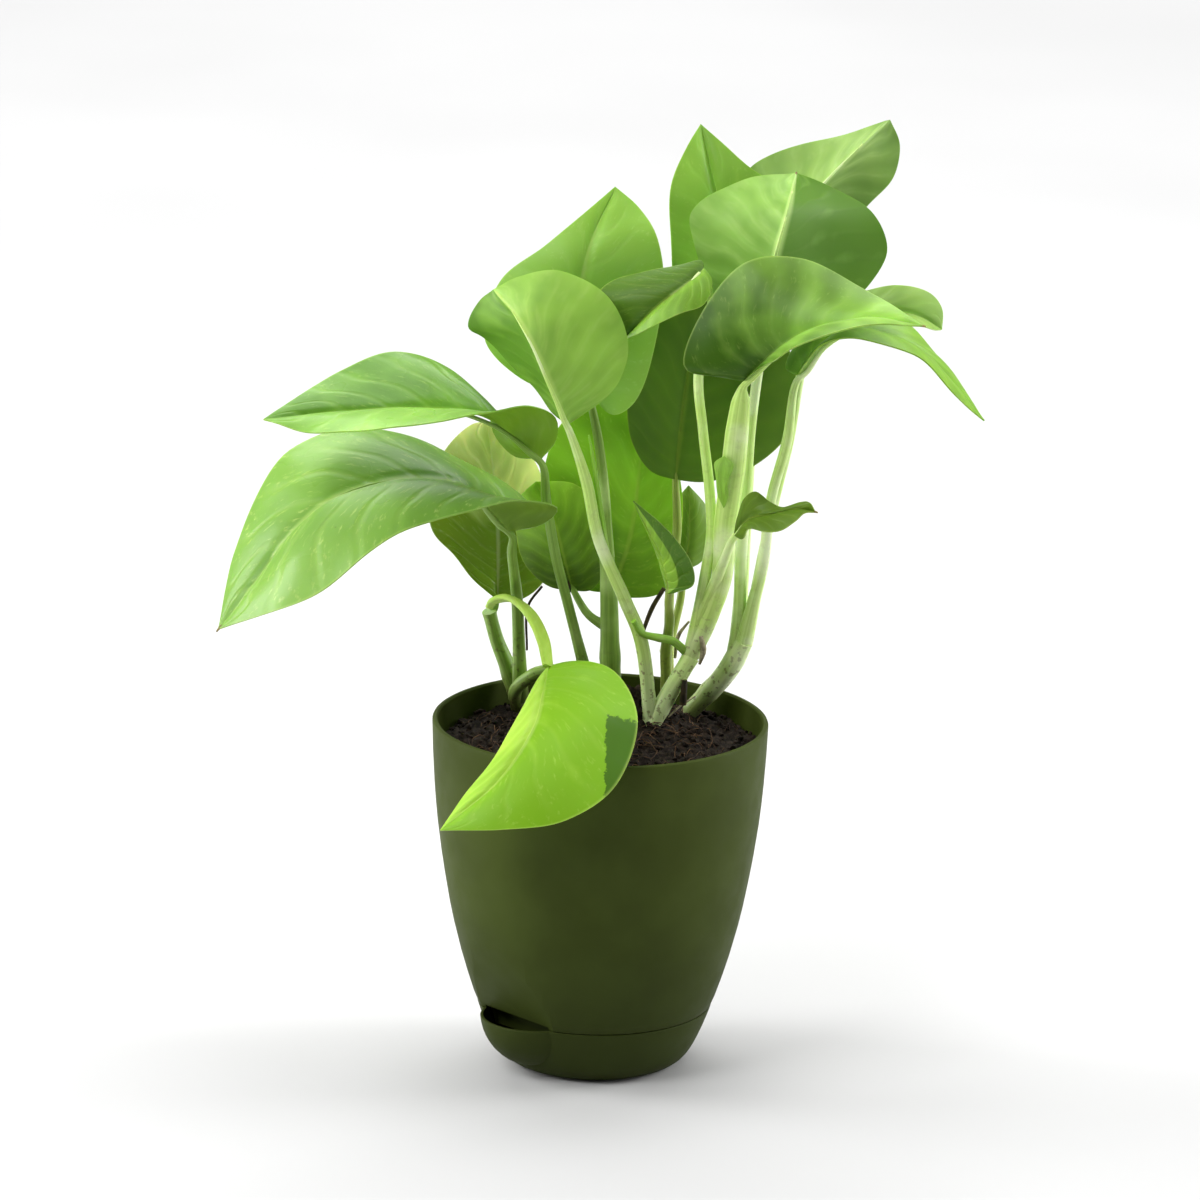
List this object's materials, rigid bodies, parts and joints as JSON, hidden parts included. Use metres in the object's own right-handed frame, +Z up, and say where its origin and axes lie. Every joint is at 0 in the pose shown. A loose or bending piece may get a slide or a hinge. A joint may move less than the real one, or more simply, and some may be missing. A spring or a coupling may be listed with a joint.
{
  "type": "potted golden pothos",
  "caption": "Golden pothos with heart-shaped leaves on long stalks, planted in soil in a tapered self-watering pot with a clip-on reservoir.",
  "frame": {"origin": "middle of the pot's flat underside, on the pot's axis", "axes": "+Z up along the pot's axis; -Y is the front, where the low front leaf hangs over the rim; +X is the front's right"},
  "size_m": [0.2685, 0.1508, 0.3312],
  "materials": {
    "pot_plastic": "matte, olive green",
    "soil": "crumbly coco peat",
    "stalk": "smooth, fleshy",
    "leaf_bright": "waxy",
    "leaf_mid": "waxy",
    "leaf_dark": "waxy",
    "leaf_lime": "waxy"
  },
  "bodies": {
    "root": {"pot_body": "pot_plastic", "pot_reservoir": "pot_plastic", "soil": "soil", "vine_left": "stalk", "vine_centre": "stalk", "vine_middle": "stalk", "vine_right": "stalk", "vine_back": "stalk", "leaf_left_low": "leaf_bright", "leaf_left_high": "leaf_bright", "leaf_front_right": "leaf_mid", "leaf_crown_front": "leaf_mid", "leaf_front_centre": "leaf_mid", "leaf_back_left_tall": "leaf_bright", "leaf_crown_left": "leaf_bright", "leaf_crown_right": "leaf_mid", "leaf_right_long": "leaf_mid", "leaf_right_back": "leaf_mid", "leaf_centre_side": "leaf_mid", "leaf_back_dark": "leaf_dark", "leaf_low_left_back": "leaf_bright", "leaf_low_centre_back": "leaf_mid", "leaf_low_centre_front": "leaf_mid", "leaf_low_right_back": "leaf_dark", "leaf_front_low": "leaf_lime", "leaf_right_curled": "leaf_dark", "leaf_young_folded": "leaf_mid"}
  },
  "joints": []
}
